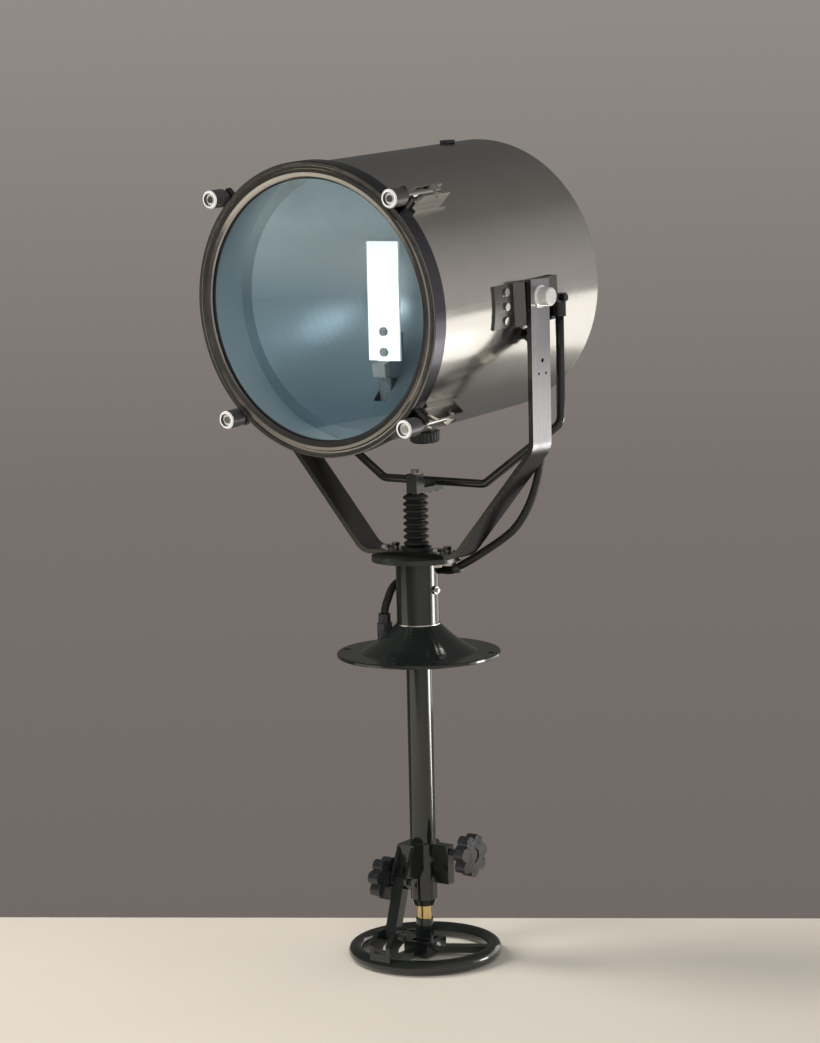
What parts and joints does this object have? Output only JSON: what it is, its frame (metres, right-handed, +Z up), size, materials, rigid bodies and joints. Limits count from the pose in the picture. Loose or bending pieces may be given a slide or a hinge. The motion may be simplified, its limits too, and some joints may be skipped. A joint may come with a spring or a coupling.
{
  "type": "cabin-controlled searchlight",
  "caption": "Round drum searchlight on a yoke, trained and tilted from below its deck flange by a tube, push rod and handwheel.",
  "frame": {"origin": "centre of the deck flange's underside", "axes": "+Z up along the training axis, the beam points towards -Y with the yoke's trunnions along X"},
  "size_m": [0.396, 0.377, 0.9808],
  "materials": {
    "black_enamel": "gloss black enamel on castings and tube",
    "dark_steel": "semi-gloss dark coating",
    "bright_steel": "bright stainless fasteners",
    "polished_steel": "polished stainless sheet and bar",
    "ring_steel": "spun stainless ring, satin bands",
    "bronze": "turned bearing bronze",
    "brass_rod": "turned brass",
    "black_rod": "gloss black coated rod",
    "rubber": "matt black rubber",
    "black_plastic": "moulded black plastic",
    "front_glass": "toughened flat glass",
    "lamp_glass": "quartz lamp envelope",
    "mirror": "silvered parabolic mirror",
    "white_plate": "white enamelled plate",
    "holder_ceramic": "steatite lampholder"
  },
  "bodies": {
    "deck_mount": {"deck_flange": "black_enamel", "standing_tube": "black_enamel", "thrust_washer": "bright_steel", "deck_gland": "black_plastic"},
    "turret": {"turning_sleeve": "black_enamel", "sleeve_bushes": "bronze", "grease_nipple": "bright_steel", "turntable": "dark_steel", "yoke": "polished_steel", "yoke_bolts": "bright_steel", "trunnion_bolts": "bright_steel", "control_tube": "dark_steel", "control_head": "black_enamel", "link_bracket": "black_enamel", "cable_clips": "bright_steel", "bellows_collar": "rubber", "guide_bushes": "bronze", "arm_cable": "rubber", "train_cable": "rubber", "bellows": "rubber"},
    "push_rod": {"push_rod": "brass_rod", "rod_head": "dark_steel", "rod_head_bolts": "bright_steel", "elevation_bail": "black_rod", "bail_ends": "black_rod", "fork_sleeve": "black_enamel"},
    "handwheel": {"handwheel": "black_enamel", "wheel_lugs": "black_enamel", "wheel_pins": "bright_steel"},
    "link": {"link_bar": "black_enamel"},
    "train_knob": {"train_knob": "black_plastic"},
    "elevation_knob": {"elevation_knob": "black_plastic"},
    "lamp_head": {"drum_shell": "polished_steel", "rear_cover": "polished_steel", "front_ring": "ring_steel", "front_glass": "front_glass", "glass_gasket": "rubber", "reflector": "mirror", "trunnion_brackets": "polished_steel", "bracket_screws": "bright_steel", "trunnion_bushes": "bronze", "clamp_brackets": "polished_steel", "vent_plug": "black_plastic", "bail_pins": "black_rod", "head_gland": "black_plastic", "head_cable": "rubber"},
    "lamp_carriage": {"lamp_carrier": "white_plate", "lampholder": "holder_ceramic", "lamp": "lamp_glass", "focus_stem": "bright_steel"},
    "focus_knob": {"focus_knob": "black_plastic"},
    "clamp_bolt_1": {"swing_bolt_1": "bright_steel"},
    "clamp_nut_1": {"clamp_nut_1": "bright_steel"},
    "clamp_bolt_2": {"swing_bolt_2": "bright_steel"},
    "clamp_nut_2": {"clamp_nut_2": "bright_steel"},
    "clamp_bolt_3": {"swing_bolt_3": "bright_steel"},
    "clamp_nut_3": {"clamp_nut_3": "bright_steel"},
    "clamp_bolt_4": {"swing_bolt_4": "bright_steel"},
    "clamp_nut_4": {"clamp_nut_4": "bright_steel"}
  },
  "joints": [
    {"name": "train", "type": "hinge", "parent": "deck_mount", "child": "turret", "pos_m": [0, 0, 0.04], "axis": [0, 0, 1], "range_deg": [-175, 175], "deforming": ["train_cable"]},
    {"name": "tilt", "type": "hinge", "parent": "turret", "child": "lamp_head", "pos_m": [0, 0, 0.431], "axis": [1, 0, 0], "range_deg": [-24, 16], "deforming": ["head_cable"]},
    {"name": "push", "type": "slide", "parent": "turret", "child": "push_rod", "axis": [0, 0, 1], "range_m": [-0.0158, 0.0106], "deforming": ["bellows"]},
    {"name": "wheel_tilt", "type": "hinge", "parent": "push_rod", "child": "handwheel", "pos_m": [0, 0, -0.357], "axis": [1, 0, 0], "range_deg": [-12.29, 8.21]},
    {"name": "link_swing", "type": "hinge", "parent": "turret", "child": "link", "pos_m": [0, -0.045, -0.268], "axis": [1, 0, 0], "range_deg": [-3.81, 5.69]},
    {"name": "train_lock", "type": "hinge", "parent": "turret", "child": "train_knob", "pos_m": [0.069, 0, -0.237], "axis": [1, 0, 0], "continuous": true},
    {"name": "elevation_lock", "type": "hinge", "parent": "turret", "child": "elevation_knob", "pos_m": [-0.025, -0.045, -0.268], "axis": [1, 0, 0], "continuous": true},
    {"name": "focus_slide", "type": "slide", "parent": "lamp_head", "child": "lamp_carriage", "axis": [0, 0.9976, 0.0698], "range_m": [-0.006, 0.006]},
    {"name": "focus_turn", "type": "hinge", "parent": "lamp_carriage", "child": "focus_knob", "pos_m": [0, 0.02183, 0.26211], "axis": [0, -0.0698, 0.9976], "continuous": true},
    {"name": "clamp_swing_1", "type": "hinge", "parent": "lamp_head", "child": "clamp_bolt_1", "pos_m": [0.12693, -0.12688, 0.55387], "axis": [-0.7071, -0.0493, 0.7054], "range_deg": [0, 100]},
    {"name": "nut_turn_1", "type": "hinge", "parent": "clamp_bolt_1", "child": "clamp_nut_1", "pos_m": [0.12693, -0.1987, 0.54885], "axis": [0, -0.9976, -0.0698], "continuous": true},
    {"name": "clamp_swing_2", "type": "hinge", "parent": "lamp_head", "child": "clamp_bolt_2", "pos_m": [-0.12693, -0.12688, 0.55387], "axis": [-0.7071, 0.0493, -0.7054], "range_deg": [0, 100]},
    {"name": "nut_turn_2", "type": "hinge", "parent": "clamp_bolt_2", "child": "clamp_nut_2", "pos_m": [-0.12693, -0.1987, 0.54885], "axis": [0, -0.9976, -0.0698], "continuous": true},
    {"name": "clamp_swing_3", "type": "hinge", "parent": "lamp_head", "child": "clamp_bolt_3", "pos_m": [-0.12693, -0.10917, 0.30064], "axis": [0.7071, 0.0493, -0.7054], "range_deg": [0, 100]},
    {"name": "nut_turn_3", "type": "hinge", "parent": "clamp_bolt_3", "child": "clamp_nut_3", "pos_m": [-0.12693, -0.181, 0.29562], "axis": [0, -0.9976, -0.0698], "continuous": true},
    {"name": "clamp_swing_4", "type": "hinge", "parent": "lamp_head", "child": "clamp_bolt_4", "pos_m": [0.12693, -0.10917, 0.30064], "axis": [0.7071, -0.0493, 0.7054], "range_deg": [0, 100]},
    {"name": "nut_turn_4", "type": "hinge", "parent": "clamp_bolt_4", "child": "clamp_nut_4", "pos_m": [0.12693, -0.181, 0.29562], "axis": [0, -0.9976, -0.0698], "continuous": true}
  ],
  "couplings": [
    {"joint": "push", "follows": "tilt", "m_per_rad": 0.0373},
    {"joint": "wheel_tilt", "follows": "tilt", "ratio": 0.5099},
    {"joint": "link_swing", "follows": "tilt", "ratio": -0.235}
  ]
}
